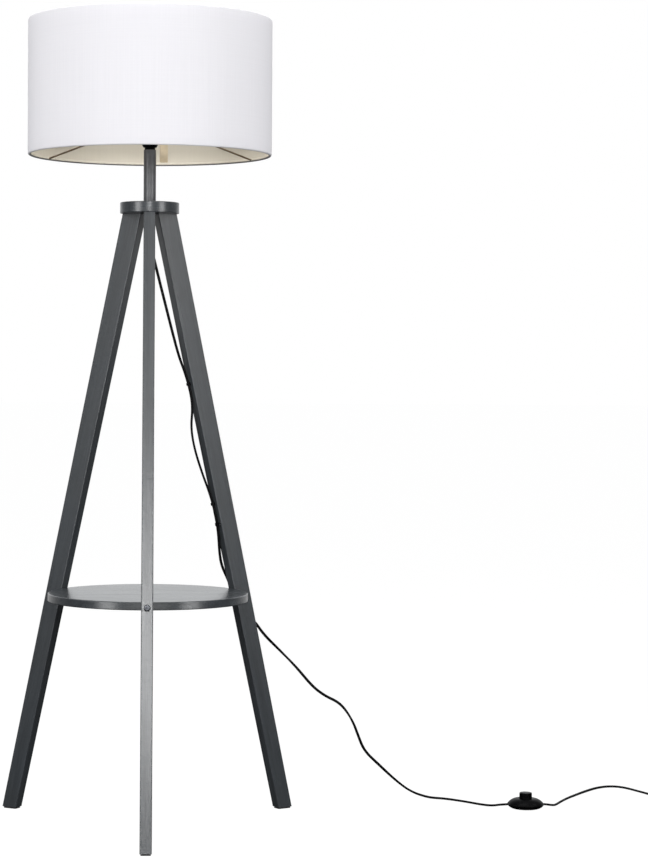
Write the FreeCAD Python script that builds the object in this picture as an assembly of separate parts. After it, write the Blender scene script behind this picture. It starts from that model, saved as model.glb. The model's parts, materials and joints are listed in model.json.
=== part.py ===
import FreeCAD, Part
import math
import os

# Tripod floor lamp: three leaning legs under a round hub, a round shelf between them, a drum shade
# on a short stem, and a mains cord with a foot switch and a plug.  Millimetres, +Z up, floor at z = 0.
# The front leg points along -Y.  The lamp's own axis stands at x = 0, y = AXIS_Y, so that the
# origin is the middle of the footprint.

V = FreeCAD.Vector
UP = V(0, 0, 1)
os.makedirs("parts", exist_ok=True)

# ---- driving dimensions ---------------------------------------------------------------------
AXIS_Y = 46.0
LEG_AZIMUTHS = {"leg_front": -90.0, "leg_left": 150.0, "leg_right": 30.0}

HUB_BOTTOM = 1136.0
HUB_THICKNESS = 20.0
HUB_RADIUS = 55.0
HUB_TOP = HUB_BOTTOM + HUB_THICKNESS

LEG_WIDTH = 21.5             # across the leg, seen from its outer side
LEG_TOP_OUTER = 52.8         # distance of the leg's outer face from the axis, at the hub
LEG_TOP_INNER = 12.8
LEG_FOOT_OUTER = 317.5       # the same, at the floor
LEG_FOOT_INNER = 286.5
LEG_EDGE_ROUND = 1.5
PAD_THICKNESS = 3.0

SHELF_RADIUS = 186.5
SHELF_BOTTOM = 415.0
SHELF_THICKNESS = 15.0
SHELF_MIDDLE = SHELF_BOTTOM + SHELF_THICKNESS / 2

SHADE_RADIUS = 226.5
SHADE_HEIGHT = 250.0
SHADE_BOTTOM = 1243.0
SHADE_TOP = SHADE_BOTTOM + SHADE_HEIGHT
SHADE_SKIN = 1.2
HEM_RADIUS = 2.8             # rolled hem around each wire
SHADE_WIRE = 1.6             # radius of the two hem wires
HEM_PLAY = 0.1               # room between wire and hem

STEM_RADIUS = 11.5
STEM_WALL = 2.5
HOLDER_BOTTOM = 1259.0       # where the lampholder's cap starts to flare
NECK_RADIUS = 9.9            # narrow neck between stem and cap
NECK_HEIGHT = 5.0
FLANGE_TOP = 1300.0          # shoulder that carries the shade
THREAD_RADIUS = 5.0          # hollow rod through hub, stem and lampholder
THREAD_BORE = 4.0
THREADED_BOTTOM = 1120.0
THREADED_TOP = 1268.0
BUSH_BOTTOM = 1098.0

CORD_RADIUS = 2.7            # the flat twin cord is 5.4 mm wide
CLIP_STANDOFF = 3.2          # cord centre above the wood in a clip

SWITCH_X = 733.2
SWITCH_Y = 194.0
SWITCH_RADIUS = 35.7
SWITCH_FOOT = 22.5           # radius of the flat underside
SWITCH_SPLIT = 8.0           # height of the seam, where the cord goes in
SWITCH_CREST = 19.3          # height of the dome at the button
BUTTON_RADIUS = 12.1
BUTTON_TOP = 30.6

COIL_X = 1065.0
COIL_Y = 211.0
COIL_MEAN_RADIUS = 30.0
COIL_HALF_WIDTH = 4.0
COIL_BOTTOM = 0.9
COIL_HEIGHT = 11.1

PLUG_X = 1130.5
PLUG_REAR = 257.0            # y of the body's rear end; the pins point along +Y
PLUG_AXIS_Z = 6.9
PIN_RADIUS = 2.0
PIN_LENGTH = 19.0
PIN_SPACING = 18.6

# ---- cord routes ----------------------------------------------------------------------------
# From the bush under the hub, along the right leg, past the shelf, down to the foot switch.
ROUTE_TO_SWITCH = [
    (0.0, 46.0, 1098.0), (0.5, 46.5, 1080.0), (7.3, 54.3, 1058.0), (17.9, 62.1, 1015.0),
    (27.8, 67.8, 977.0), (41.2, 75.6, 925.0), (55.5, 83.8, 872.0), (68.7, 89.7, 838.0),
    (79.1, 90.0, 800.0), (82.2, 91.7, 772.0), (79.3, 93.0, 738.0), (85.5, 97.7, 700.0),
    (99.6, 106.9, 655.0), (116.0, 116.6, 612.0), (127.1, 116.6, 572.0), (132.9, 124.9, 535.0),
    (135.1, 131.5, 500.0), (139.4, 141.4, 474.0), (150.5, 150.5, 450.0), (160.5, 156.2, 425.0),
    (169.8, 160.1, 400.0), (185.2, 169.0, 380.0), (205.0, 180.6, 363.0), (223.1, 194.0, 336.2),
    (252.5, 204.2, 306.8), (287.2, 215.7, 271.3), (319.9, 226.3, 231.5), (345.0, 234.4, 212.2),
    (370.2, 242.5, 199.8), (386.5, 247.8, 183.6), (402.4, 252.8, 157.2), (411.2, 255.6, 133.6),
    (424.1, 259.7, 101.3), (452.7, 268.8, 73.6), (488.7, 280.0, 39.2), (520.0, 290.5, 15.0),
    (554.0, 297.6, 2.8), (588.0, 286.0, 2.8), (621.8, 254.0, 2.8), (649.0, 222.0, 2.8),
    (669.0, 203.5, 3.6), (688.0, 194.0, 7.4), (712.7, 194.0, 8.0)]

# From the foot switch over the floor into the coil of spare cord.
ROUTE_TO_COIL = [
    (754.7, 194.0, 8.0), (769.5, 194.0, 7.9), (781.5, 197.0, 6.0), (791.0, 205.6, 4.2),
    (799.0, 224.5, 3.0), (813.0, 256.0, 2.8), (836.0, 300.5, 2.8), (878.0, 366.0, 2.8),
    (902.5, 400.0, 2.8),
    (919.0, 417.0, 2.8), (938.0, 428.5, 2.8), (957.5, 425.0, 2.8), (972.0, 406.5, 2.8),
    (984.0, 379.0, 2.8), (1002.0, 340.4, 2.8), (1015.1, 302.9, 2.8), (1027.2, 258.4, 2.8),
    (1033.5, 211.0, 3.6)]

# From the coil to the plug's tapered strain relief.
ROUTE_TO_PLUG = [
    (1065.0, 179.7, 9.2), (1089.0, 176.0, 7.6), (1109.0, 180.0, 5.6), (1125.0, 194.0, 5.4),
    (1130.5, 214.0, 6.9), (1130.5, 232.0, 6.9)]


# ---- helpers --------------------------------------------------------------------------------
def save(name, *solids):
    """Write one node, moved from the lamp's axis to the frame."""
    shape = solids[0] if len(solids) == 1 else Part.makeCompound(list(solids))
    shape = shape.copy()
    shape.translate(V(0, AXIS_Y, 0))
    export(name, shape)


def save_placed(name, *solids):
    """Write one node that is already in the frame's own coordinates."""
    shape = solids[0] if len(solids) == 1 else Part.makeCompound(list(solids))
    export(name, shape)


def export(name, shape):
    if not shape.isValid() or shape.Volume <= 0:
        raise ValueError(name + " is not a valid solid")
    shape.exportStep("parts/" + name + ".step")
    print("%-22s %9.0f mm3  %d solid(s)" % (name, shape.Volume, len(shape.Solids)))


def rod(radius, bottom, top, x=0.0, y=0.0):
    return Part.makeCylinder(radius, top - bottom, V(x, y, bottom))


def tube(outer, inner, bottom, top, x=0.0, y=0.0):
    return rod(outer, bottom, top, x, y).cut(rod(inner, bottom, top, x, y))


def spin(solid, azimuth):
    """A copy turned about the lamp's axis."""
    turned = solid.copy()
    turned.rotate(V(0, 0, 0), UP, azimuth)
    return turned


def around(solid):
    """The same piece once at each leg."""
    return [spin(solid, azimuth) for azimuth in LEG_AZIMUTHS.values()]


def line(a, b):
    return Part.LineSegment(V(a[0], 0, a[1]), V(b[0], 0, b[1])).toShape()


def arc(a, b, c):
    return Part.Arc(V(a[0], 0, a[1]), V(b[0], 0, b[1]), V(c[0], 0, c[1])).toShape()


def turned(*edges):
    """A solid of revolution about Z, from the edges of a closed outline in radius and height."""
    face = Part.Face(Part.Wire(list(edges)))
    return face.revolve(V(0, 0, 0), UP, 360)


def turned_polygon(points):
    corners = [V(r, 0, z) for r, z in points]
    face = Part.Face(Part.makePolygon(corners + corners[:1]))
    return face.revolve(V(0, 0, 0), UP, 360)


def round_edges(solid, radius, chosen):
    return solid.makeFillet(radius, [edge for edge in solid.Edges if chosen(edge)])


def hexagon(across_flats, bottom, top):
    corner = across_flats / math.sqrt(3)
    points = [V(corner * math.cos(math.radians(60 * i)), corner * math.sin(math.radians(60 * i)), bottom)
              for i in range(7)]
    return Part.Face(Part.makePolygon(points)).extrude(V(0, 0, top - bottom))


def lay_along_x(solid, x, z):
    """Turn a piece whose head points up so that its head points outwards along X."""
    laid = solid.copy()
    laid.rotate(V(0, 0, 0), V(0, 1, 0), 90)
    laid.translate(V(x, 0, z))
    return laid


def outer_face(z):
    return LEG_FOOT_OUTER + (LEG_TOP_OUTER - LEG_FOOT_OUTER) * z / HUB_BOTTOM


def inner_face(z):
    return LEG_FOOT_INNER + (LEG_TOP_INNER - LEG_FOOT_INNER) * z / HUB_BOTTOM


# ---- cords ----------------------------------------------------------------------------------
def cord_path(name, route):
    """Straight runs joined by tangent arcs, each arc as large as its two runs allow."""
    points = [V(*p) for p in route]
    edges = []
    start = points[0]
    radii = []
    for before, corner, after in zip(points, points[1:], points[2:]):
        inward = (before - corner).normalize()
        outward = (after - corner).normalize()
        turn = math.pi - inward.getAngle(outward)
        reach = 0.45 * min((before - corner).Length, (after - corner).Length)
        radius = reach / math.tan(turn / 2)
        radii.append(radius)
        enter = corner + inward * reach
        leave = corner + outward * reach
        bisector = (inward + outward).normalize()
        middle = corner + bisector * (radius / math.cos(turn / 2) - radius)
        edges.append(Part.LineSegment(start, enter).toShape())
        edges.append(Part.Arc(enter, middle, leave).toShape())
        start = leave
    edges.append(Part.LineSegment(start, points[-1]).toShape())
    path = Part.Wire(edges)
    print("%s: %.0f mm long, tightest radius %.0f mm" % (name, path.Length, min(radii)))
    print("  radii " + " ".join("%.0f" % radius for radius in radii))
    return path


def cord_tube(name, route):
    path = cord_path(name, route)
    first = V(*route[0])
    direction = V(*route[1]) - first
    section = Part.Wire([Part.makeCircle(CORD_RADIUS, first, direction)])
    solid = path.makePipeShell([section], True, False)
    expected = math.pi * CORD_RADIUS ** 2 * path.Length
    print("  volume / section x length = %.4f" % (solid.Volume / expected))
    return solid


def run_frame(route, index):
    """Middle and direction of one run of the route, about the lamp's axis."""
    a = V(*route[index])
    b = V(*route[index + 1])
    middle = (a + b) / 2 - V(0, AXIS_Y, 0)
    return middle, (b - a).normalize()


# ---- legs, hub, shelf -----------------------------------------------------------------------
def leg_blank(width):
    """One leg along +X: leaning, tapered, cut level at the hub and above the foot pad."""
    outline = [V(LEG_TOP_INNER, -width / 2, HUB_BOTTOM),
               V(LEG_TOP_OUTER, -width / 2, HUB_BOTTOM),
               V(outer_face(PAD_THICKNESS), -width / 2, PAD_THICKNESS),
               V(inner_face(PAD_THICKNESS), -width / 2, PAD_THICKNESS)]
    face = Part.Face(Part.makePolygon(outline + outline[:1]))
    return face.extrude(V(0, width, 0))


HUB_BORE = 5.2
HUB_EDGE_ROUND = 1.2
HUB_BOLT_R = 40.0            # hub bolts, from the axis
COUNTERSINK_RADIUS = 6.4
COUNTERSINK_DEPTH = 3.1
HEX_SOCKET = 4.0             # across flats
DOWEL_R = 24.0
DOWEL_RADIUS = 4.0
DOWEL_IN_HUB = 14.0
DOWEL_IN_LEG = 20.0
INSERT_RADIUS = 4.5
INSERT_LENGTH = 16.0
BOLT_RADIUS = 3.0
BOLT_HOLE = 3.3
HUB_BOLT_LENGTH = 40.0
SHELF_BOLT_LENGTH = 50.0
SHELF_BOLT_SEAT = 216.5      # the bolt head's seat, from the axis
SHELF_BOLT_HEAD = 5.5
SHELF_BOLT_HEAD_HEIGHT = 3.3
SHELF_INSERT_OUTER_END = 181.0
LEG_SOCKET_DEPTH = 42.0      # room for the hub bolt's end


def leg_solid():
    leg = round_edges(leg_blank(LEG_WIDTH), LEG_EDGE_ROUND, lambda edge: edge.Length > 1000)
    leg = leg.cut(rod(INSERT_RADIUS, HUB_BOTTOM - INSERT_LENGTH, HUB_BOTTOM, HUB_BOLT_R))
    leg = leg.cut(rod(BOLT_HOLE, HUB_BOTTOM - LEG_SOCKET_DEPTH, HUB_BOTTOM, HUB_BOLT_R))
    leg = leg.cut(rod(DOWEL_RADIUS, HUB_BOTTOM - DOWEL_IN_LEG, HUB_BOTTOM, DOWEL_R))
    bolt_hole = Part.makeCylinder(BOLT_HOLE, 80, V(160, 0, SHELF_MIDDLE), V(1, 0, 0))
    spot_face = Part.makeCylinder(SHELF_BOLT_HEAD + 0.8, 30, V(SHELF_BOLT_SEAT, 0, SHELF_MIDDLE), V(1, 0, 0))
    return leg.cut(bolt_hole).cut(spot_face)


def hub_solid():
    hub = rod(HUB_RADIUS, HUB_BOTTOM, HUB_TOP)
    hub = round_edges(hub, HUB_EDGE_ROUND, lambda edge: abs(edge.Length - 2 * math.pi * HUB_RADIUS) < 0.1)
    hub = hub.cut(rod(HUB_BORE, HUB_BOTTOM, HUB_TOP))
    countersink = Part.makeCone(BOLT_HOLE, COUNTERSINK_RADIUS, COUNTERSINK_DEPTH,
                                V(HUB_BOLT_R, 0, HUB_TOP - COUNTERSINK_DEPTH))
    bolt_hole = rod(BOLT_HOLE, HUB_BOTTOM, HUB_TOP, HUB_BOLT_R)
    dowel_hole = rod(DOWEL_RADIUS, HUB_BOTTOM, HUB_BOTTOM + DOWEL_IN_HUB, DOWEL_R)
    for cutter in around(countersink) + around(bolt_hole) + around(dowel_hole):
        hub = hub.cut(cutter)
    return hub


def shelf_solid():
    shelf = rod(SHELF_RADIUS, SHELF_BOTTOM, SHELF_BOTTOM + SHELF_THICKNESS)
    shelf = round_edges(shelf, 1.5, lambda edge: edge.Length > 1000)
    seat = leg_blank(LEG_WIDTH + 0.6)
    end = SHELF_INSERT_OUTER_END - INSERT_LENGTH
    insert_hole = Part.makeCylinder(INSERT_RADIUS, 30, V(end, 0, SHELF_MIDDLE), V(1, 0, 0))
    for cutter in around(seat) + around(insert_hole):
        shelf = shelf.cut(cutter)
    return shelf


def button_head_bolt():
    """M6 button-head bolt with a hex socket, its head above z = 0."""
    head = rod(SHELF_BOLT_HEAD, 0, SHELF_BOLT_HEAD_HEIGHT)
    head = round_edges(head, 2.0, lambda edge: edge.CenterOfMass.z > SHELF_BOLT_HEAD_HEIGHT - 0.01
                       and edge.Length > 30)
    head = head.cut(hexagon(HEX_SOCKET, SHELF_BOLT_HEAD_HEIGHT - 2.0, SHELF_BOLT_HEAD_HEIGHT))
    return head.fuse(rod(BOLT_RADIUS, -SHELF_BOLT_LENGTH, 0))


def countersunk_bolt():
    """M6 countersunk bolt with a hex socket, its flat top at the hub's top."""
    top = HUB_TOP - 0.1
    under = top - COUNTERSINK_DEPTH
    head = Part.makeCone(BOLT_RADIUS, COUNTERSINK_RADIUS - 0.3, COUNTERSINK_DEPTH, V(HUB_BOLT_R, 0, under))
    shank = rod(BOLT_RADIUS, top - HUB_BOLT_LENGTH, under, HUB_BOLT_R)
    socket = hexagon(HEX_SOCKET, top - 2.2, top)
    socket.translate(V(HUB_BOLT_R, 0, 0))
    return shank.fuse(head).cut(socket)


def foot_pad():
    inset = 1.5
    inner = inner_face(PAD_THICKNESS) + inset
    outer = outer_face(PAD_THICKNESS) - inset
    width = LEG_WIDTH - 2 * inset
    pad = Part.makeBox(outer - inner, width, PAD_THICKNESS, V(inner, -width / 2, 0))
    return round_edges(pad, 3.0, lambda edge: abs(edge.Length - PAD_THICKNESS) < 0.01)


# ---- cable clips ----------------------------------------------------------------------------
NAIL_OFFSET = 6.6            # nail from the cord's centre
NAIL_RADIUS = 0.9
NAIL_DEPTH = 12.0
NAIL_HEAD = 1.9
CLIP_WIDTH = 5.0             # along the cord
CLIP_BORE = 3.05
CLIP_WALL = 0.75
CLIP_FOOT = 1.2              # thickness of the foot under the nail's head


def clip_placement(route_index, normal, azimuth_side):
    """Local axes of a clip: X to its nail, Y along the cord, Z out of the wood."""
    middle, along = run_frame(ROUTE_TO_SWITCH, route_index)
    along = (along - normal * along.dot(normal)).normalize()
    side = along.cross(normal) * azimuth_side
    along = normal.cross(side)
    base = middle - normal * CLIP_STANDOFF
    matrix = FreeCAD.Matrix(side.x, along.x, normal.x, base.x,
                            side.y, along.y, normal.y, base.y,
                            side.z, along.z, normal.z, base.z, 0, 0, 0, 1)
    return FreeCAD.Placement(matrix)


def clip_body():
    """Thin saddle over the cord, with one foot for the nail."""
    half = CLIP_WIDTH / 2
    outer = CLIP_BORE + CLIP_WALL
    wall = Part.makeBox(2 * outer, CLIP_WIDTH, CLIP_STANDOFF, V(-outer, -half, 0))
    crown = Part.makeCylinder(outer, CLIP_WIDTH, V(0, -half, CLIP_STANDOFF), V(0, 1, 0))
    crown = crown.common(Part.makeBox(20, 20, 20, V(-10, -10, CLIP_STANDOFF)))
    foot = Part.makeBox(NAIL_OFFSET + 2.4 - CLIP_BORE, CLIP_WIDTH, CLIP_FOOT, V(CLIP_BORE, -half, 0))
    channel = Part.makeCylinder(CLIP_BORE, CLIP_WIDTH, V(0, -half, CLIP_STANDOFF), V(0, 1, 0))
    mouth = Part.makeBox(2 * CLIP_BORE, CLIP_WIDTH, CLIP_STANDOFF, V(-CLIP_BORE, -half, 0))
    body = wall.fuse(crown).fuse(foot).cut(channel).cut(mouth)
    return body.cut(rod(NAIL_RADIUS, -1, CLIP_FOOT + 1, NAIL_OFFSET))


def clip_nail():
    shank = rod(NAIL_RADIUS, -NAIL_DEPTH, CLIP_FOOT, NAIL_OFFSET)
    return shank.fuse(rod(NAIL_HEAD, CLIP_FOOT, CLIP_FOOT + 0.7, NAIL_OFFSET))


def leg_normals():
    """Outward normals of the right leg's inner face and of its face away from the front leg."""
    azimuth = math.radians(LEG_AZIMUTHS["leg_right"])
    radial = V(math.cos(azimuth), math.sin(azimuth), 0)
    sideways = V(-math.sin(azimuth), math.cos(azimuth), 0)
    lean = (LEG_FOOT_INNER - LEG_TOP_INNER) / HUB_BOTTOM
    inner = (radial * -1 - UP * lean).normalize()
    return inner, sideways


def placed(solid, placement):
    moved = solid.copy()
    moved.Placement = placement
    return moved


# ---- stem and lampholder --------------------------------------------------------------------
HOLDER_RADIUS = 19.5
HOLDER_SPLIT = HOLDER_BOTTOM + 27    # joint between cap and body
HOLDER_THREAD = 19.7                 # outer thread for the ring nut
SHOULDER_RADIUS = 22.5
BODY_BORE = 14.4
SHELL_BOTTOM = FLANGE_TOP - 4
BULB_TIP = FLANGE_TOP - 4.5


def lampholder_cap():
    """Flared lower half on a narrow neck, threaded for the hollow rod."""
    z = HOLDER_BOTTOM
    neck = z - NECK_HEIGHT
    outside = [(THREAD_RADIUS, neck), (NECK_RADIUS, neck), (NECK_RADIUS, z - 1.5), (12.8, z),
               (14.4, z + 3.5), (HOLDER_RADIUS, z + 15), (HOLDER_RADIUS, HOLDER_SPLIT)]
    inside = [(17.3, HOLDER_SPLIT), (17.3, z + 16), (9.5, z + 6.5), (8.0, z + 9.5), (THREAD_RADIUS, z + 9.5)]
    return turned_polygon(outside + inside)


def lampholder_body():
    """Upper half: shoulder and outer thread for the shade, bore for the metal shell."""
    outside = [(BODY_BORE + 0.6, HOLDER_SPLIT), (HOLDER_RADIUS, HOLDER_SPLIT),
               (HOLDER_RADIUS, FLANGE_TOP - 3.5), (SHOULDER_RADIUS, FLANGE_TOP - 3.0),
               (SHOULDER_RADIUS, FLANGE_TOP), (HOLDER_THREAD, FLANGE_TOP),
               (HOLDER_THREAD, FLANGE_TOP + 19), (HOLDER_THREAD - 1, FLANGE_TOP + 20)]
    inside = [(BODY_BORE, FLANGE_TOP + 20), (BODY_BORE, HOLDER_SPLIT + 8),
              (BODY_BORE + 0.6, HOLDER_SPLIT + 8)]
    return turned_polygon(outside + inside)


def lampholder_insert():
    """Ceramic disc with the two terminals' slots."""
    bottom, top = HOLDER_SPLIT - 3, HOLDER_SPLIT + 5.5
    disc = rod(BODY_BORE - 0.1, bottom, top)
    for y in (-9, 9):
        disc = disc.cut(rod(3.2, bottom, top, 0, y))
    return disc


def centre_contact():
    """Springy tongue in the bottom of the holder."""
    z = HOLDER_SPLIT + 5.5
    foot = Part.makeBox(12, 5, 0.8, V(-6, -2.5, z))
    riser = Part.makeBox(0.8, 5, 2.0, V(-6, -2.5, z))
    tongue = Part.makeBox(10, 5, 0.8, V(-6, -2.5, z + 1.8))
    return foot.fuse(riser).fuse(tongue)


RING_NUT_RADIUS = 27.0
RING_NUT_HEIGHT = 8.0
GRIP_GROOVES = 18


def shade_ring_nut():
    z = FLANGE_TOP + 2.3
    nut = tube(RING_NUT_RADIUS, HOLDER_THREAD + 0.3, z, z + RING_NUT_HEIGHT)
    nut = round_edges(nut, 1.0, lambda edge: edge.Length > 160)
    groove = rod(1.6, z - 1, z + RING_NUT_HEIGHT + 1, RING_NUT_RADIUS + 1)
    for i in range(GRIP_GROOVES):
        nut = nut.cut(spin(groove, i * 360.0 / GRIP_GROOVES))
    return nut


# ---- bulb -----------------------------------------------------------------------------------
BULB_CAP_TOP = FLANGE_TOP + 22
BULB_SHOULDER = FLANGE_TOP + 58
DOME_CENTRE = FLANGE_TOP + 72
DOME_RADIUS = 30.0


def bulb_cap():
    z = BULB_TIP
    return turned_polygon([(12.4, z + 4.2), (13.25, z + 5.0), (13.25, BULB_CAP_TOP), (12.6, BULB_CAP_TOP),
                           (12.6, z + 5.4), (11.8, z + 4.7)])


def bulb_insulator():
    z = BULB_TIP
    return turned_polygon([(4.6, z + 1.0), (5.5, z + 1.0), (12.4, z + 4.2), (11.8, z + 4.7), (4.6, z + 3.6)])


def bulb_tip():
    z = BULB_TIP + 0.4
    return turned_polygon([(0, z), (3.6, z), (4.6, z + 0.6), (4.6, z + 3.2), (0, z + 3.2)])


def bulb_housing():
    """White lower shell of the bulb, flaring from the cap to the dome."""
    rim = math.sqrt(DOME_RADIUS ** 2 - (DOME_CENTRE - BULB_SHOULDER) ** 2)
    wall = 1.5
    foot = (13.6, BULB_CAP_TOP)
    knee = (19.0, (BULB_CAP_TOP + BULB_SHOULDER) / 2)
    top = (rim, BULB_SHOULDER)
    return turned(arc(foot, knee, top), line(top, (rim - wall, top[1])),
                  arc((rim - wall, top[1]), (knee[0] - wall, knee[1]), (foot[0] - wall, foot[1])),
                  line((foot[0] - wall, foot[1]), foot))


def bulb_dome():
    """Opal dome, a thin shell open below."""
    rim = math.sqrt(DOME_RADIUS ** 2 - (DOME_CENTRE - BULB_SHOULDER) ** 2)
    inner = DOME_RADIUS - 1.2
    inner_rim = math.sqrt(inner ** 2 - (DOME_CENTRE - BULB_SHOULDER) ** 2)
    return turned(arc((rim, BULB_SHOULDER), (DOME_RADIUS, DOME_CENTRE), (0, DOME_CENTRE + DOME_RADIUS)),
                  line((0, DOME_CENTRE + DOME_RADIUS), (0, DOME_CENTRE + inner)),
                  arc((0, DOME_CENTRE + inner), (inner, DOME_CENTRE), (inner_rim, BULB_SHOULDER)),
                  line((inner_rim, BULB_SHOULDER), (rim, BULB_SHOULDER)))


# ---- shade ----------------------------------------------------------------------------------
WIRE_R = SHADE_RADIUS - HEM_RADIUS
WIRE_LOW = SHADE_BOTTOM + HEM_RADIUS
WIRE_HIGH = SHADE_TOP - HEM_RADIUS
FITTER_OUTER = 27.0
ARM_RADIUS = 1.7


def shade_panel(arm_holes):
    """Laminated fabric drum with both rims rolled around their wires."""
    inner = SHADE_RADIUS - SHADE_SKIN
    join = math.sqrt(HEM_RADIUS ** 2 - (inner - WIRE_R) ** 2)
    low = [(SHADE_RADIUS, WIRE_LOW), (WIRE_R - HEM_RADIUS, WIRE_LOW), (inner, WIRE_LOW + join)]
    high = [(inner, WIRE_HIGH - join), (WIRE_R - HEM_RADIUS, WIRE_HIGH), (SHADE_RADIUS, WIRE_HIGH)]
    panel = turned(line(high[2], low[0]),
                   arc(low[0], (WIRE_R, SHADE_BOTTOM), low[1]),
                   arc(low[1], (WIRE_R, WIRE_LOW + HEM_RADIUS), low[2]),
                   line(low[2], high[0]),
                   arc(high[0], (WIRE_R, WIRE_HIGH - HEM_RADIUS), high[1]),
                   arc(high[1], (WIRE_R, SHADE_TOP), high[2]))
    for height in (WIRE_LOW, WIRE_HIGH):
        panel = panel.cut(Part.makeTorus(WIRE_R, SHADE_WIRE + HEM_PLAY, V(0, 0, height)))
    for hole in arm_holes:
        panel = panel.cut(hole)
    return panel


def arm_along(radius, start, end):
    """Round rod in the XZ plane from one (r, z) to another."""
    a = V(start[0], 0, start[1])
    b = V(end[0], 0, end[1])
    return Part.makeCylinder(radius, (b - a).Length, a, b - a)


def fitter_ring():
    return tube(FITTER_OUTER, 20.2, FLANGE_TOP, FLANGE_TOP + 2)


# ---- foot switch ----------------------------------------------------------------------------
SWITCH_WALL = 2.2
BUTTON_HOLE = BUTTON_RADIUS + 0.35
BUTTON_FLANGE = 13.2
BUTTON_BOTTOM = 13.3
BUTTON_SKIN = 2.5            # thickness of the button's top
PLUNGER_RADIUS = 2.6
PLUNGER_BOTTOM = 12.9
PILLAR_Y = 15.9
PILLAR_RADIUS = 2.6
SCREW_RADIUS = 1.2
PILLAR_TOP = 17.0
SCREW_TOP = 11.0
BLOCK_TOP = 8.8
GRIP_X = 23.0
SPRING_BOTTOM = BLOCK_TOP
SPRING_TOP = BUTTON_TOP - BUTTON_SKIN - 0.1


def at_switch(solid):
    moved = solid.copy()
    moved.translate(V(SWITCH_X, SWITCH_Y, 0))
    return moved


def cord_holes():
    return Part.makeCylinder(CORD_RADIUS + 0.3, 80, V(-40, 0, SWITCH_SPLIT), V(1, 0, 0))


def switch_cover():
    rim = (SWITCH_RADIUS, SWITCH_SPLIT)
    crest = (BUTTON_HOLE, SWITCH_CREST)
    inner_rim = (SWITCH_RADIUS - SWITCH_WALL, SWITCH_SPLIT)
    inner_crest = (BUTTON_HOLE, SWITCH_CREST - 2.4)
    dome = turned(arc(rim, (27.6, 16.2), crest), line(crest, inner_crest),
                  arc(inner_crest, (25.9, 14.0), inner_rim), line(inner_rim, rim))
    for y in (-PILLAR_Y, PILLAR_Y):
        dome = dome.fuse(rod(PILLAR_RADIUS, SWITCH_WALL, PILLAR_TOP, 0, y))
        dome = dome.cut(rod(SCREW_RADIUS, SWITCH_WALL, SCREW_TOP, 0, y))
    return dome.cut(cord_holes())


def switch_base():
    rim = (SWITCH_RADIUS, SWITCH_SPLIT)
    foot = (SWITCH_FOOT, 0.0)
    inner_rim = (SWITCH_RADIUS - SWITCH_WALL, SWITCH_SPLIT)
    inner_foot = (SWITCH_FOOT, SWITCH_WALL)
    base = turned(arc(rim, (31.0, 2.8), foot), line(foot, (0, 0)), line((0, 0), (0, SWITCH_WALL)),
                  line((0, SWITCH_WALL), inner_foot), arc(inner_foot, (29.4, 4.6), inner_rim),
                  line(inner_rim, rim))
    for y in (-PILLAR_Y, PILLAR_Y):
        base = base.cut(rod(SCREW_RADIUS + 0.2, 0, SWITCH_WALL, 0, y))
        base = base.cut(rod(PILLAR_RADIUS + 0.2, 0, 1.2, 0, y))
    return base.cut(cord_holes())


def switch_screws():
    screws = []
    for y in (-PILLAR_Y, PILLAR_Y):
        head = rod(PILLAR_RADIUS, 0.2, 1.2, 0, y)
        screw = head.fuse(rod(SCREW_RADIUS, 1.2, SCREW_TOP - 1, 0, y))
        screws.append(screw.cut(Part.makeBox(5, 0.8, 0.5, V(-2.5, y - 0.4, 0.2))))
    return screws


def switch_button():
    """Hollow cap with a retaining flange and a plunger in its middle."""
    ceiling = BUTTON_TOP - BUTTON_SKIN
    cap = rod(BUTTON_RADIUS, BUTTON_BOTTOM, BUTTON_TOP)
    cap = round_edges(cap, 1.6, lambda edge: edge.CenterOfMass.z > BUTTON_TOP - 0.01 and edge.Length > 60)
    cap = cap.fuse(rod(BUTTON_FLANGE, BUTTON_BOTTOM, BUTTON_BOTTOM + 2))
    cap = cap.cut(rod(BUTTON_RADIUS - 2.0, BUTTON_BOTTOM, ceiling))
    return cap.fuse(rod(PLUNGER_RADIUS, PLUNGER_BOTTOM, ceiling))


def switch_spring():
    """Compression spring around the plunger."""
    wire = 0.4
    mean = 4.0
    turns = 5
    height = SPRING_TOP - SPRING_BOTTOM - 2 * wire
    helix = Part.makeHelix(height / turns, height, mean)
    section = Part.Wire([Part.makeCircle(wire, V(mean, 0, 0), V(0, 1, 0))])
    spring = Part.Wire(helix.Edges).makePipeShell([section], True, True)
    spring.translate(V(0, 0, SPRING_BOTTOM + wire))
    return spring


TERMINAL_RADIUS = 2.0
TERMINAL_BOTTOM = 5.0


def switch_block():
    """Insulating block that holds the contacts."""
    block = Part.makeBox(24, 16, BLOCK_TOP - SWITCH_WALL, V(-12, -8, SWITCH_WALL))
    for x in (-8, 8):
        for y in (-4, 4):
            block = block.cut(rod(TERMINAL_RADIUS, TERMINAL_BOTTOM, BLOCK_TOP + 0.1, x, y))
    return block


def switch_terminals():
    return [rod(TERMINAL_RADIUS, TERMINAL_BOTTOM, BLOCK_TOP - 0.6, x, y) for x in (-8, 8) for y in (-4, 4)]


def cord_grips():
    """Bars that clamp the cord just inside each entry."""
    bottom = SWITCH_SPLIT + CORD_RADIUS
    return [Part.makeBox(3, 13, 2.4, V(x - 1.5, -6.5, bottom)) for x in (-GRIP_X, GRIP_X)]


# ---- coil, tie, plug ------------------------------------------------------------------------
def coil_section(half_width, bottom, top):
    return [V(COIL_MEAN_RADIUS - half_width, 0, bottom), V(COIL_MEAN_RADIUS + half_width, 0, bottom),
            V(COIL_MEAN_RADIUS + half_width, 0, top), V(COIL_MEAN_RADIUS - half_width, 0, top)]


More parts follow.
